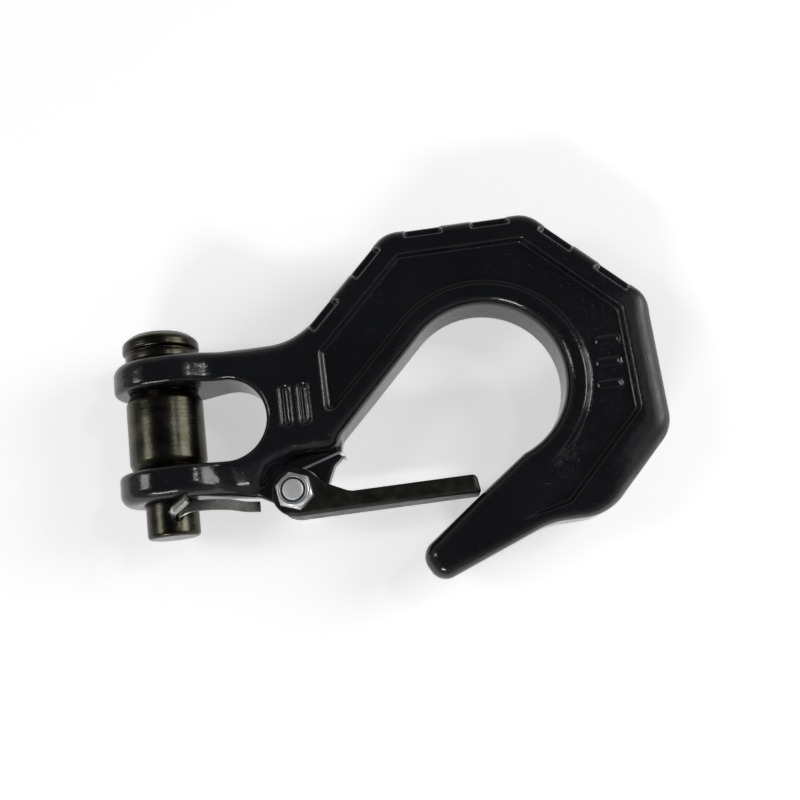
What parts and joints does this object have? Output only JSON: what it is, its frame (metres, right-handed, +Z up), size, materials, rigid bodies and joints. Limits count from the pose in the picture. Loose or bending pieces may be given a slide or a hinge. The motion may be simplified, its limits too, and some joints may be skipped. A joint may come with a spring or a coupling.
{
  "type": "safety chain hook",
  "caption": "Clevis slip hook with an eight-sided bowl, pin with roller and split pin, and a spring-loaded swinging latch.",
  "frame": {"origin": "centre of the bounding box on the plane that the hook lies on", "axes": "+X from the clevis pin towards the bowl, +Y along the clevis pin towards its head, +Z up out of the plane of the hook"},
  "size_m": [0.1352, 0.0874, 0.024],
  "materials": {
    "black_paint": "gloss black paint on forged steel",
    "dark_steel": "turned steel, dark oiled",
    "phosphate": "dark olive phosphate on pressed steel",
    "zinc": "bright zinc plate",
    "nylon": "moulded"
  },
  "bodies": {
    "hook": {"hook_body": "black_paint", "latch_bolt": "zinc", "latch_nut": "zinc", "nylon_ring": "nylon", "latch_spring": "zinc"},
    "pin": {"clevis_pin": "dark_steel", "split_pin": "zinc"},
    "roller": {"pin_roller": "dark_steel"},
    "latch": {"latch": "phosphate"}
  },
  "joints": [
    {"name": "pin_turn", "type": "hinge", "parent": "hook", "child": "pin", "pos_m": [-0.0556, 0.0007, 0.012], "axis": [0, 1, 0], "continuous": true},
    {"name": "roller_spin", "type": "hinge", "parent": "hook", "child": "roller", "pos_m": [-0.0556, 0.0007, 0.012], "axis": [0, 1, 0], "continuous": true},
    {"name": "latch_swing", "type": "hinge", "parent": "hook", "child": "latch", "pos_m": [-0.0242, -0.0189, 0.012], "axis": [0, 0, 1], "range_deg": [0, 42], "stiffness_Nm_per_rad": 0.12, "springref_deg": -51.57, "deforming": ["latch_spring"]}
  ]
}
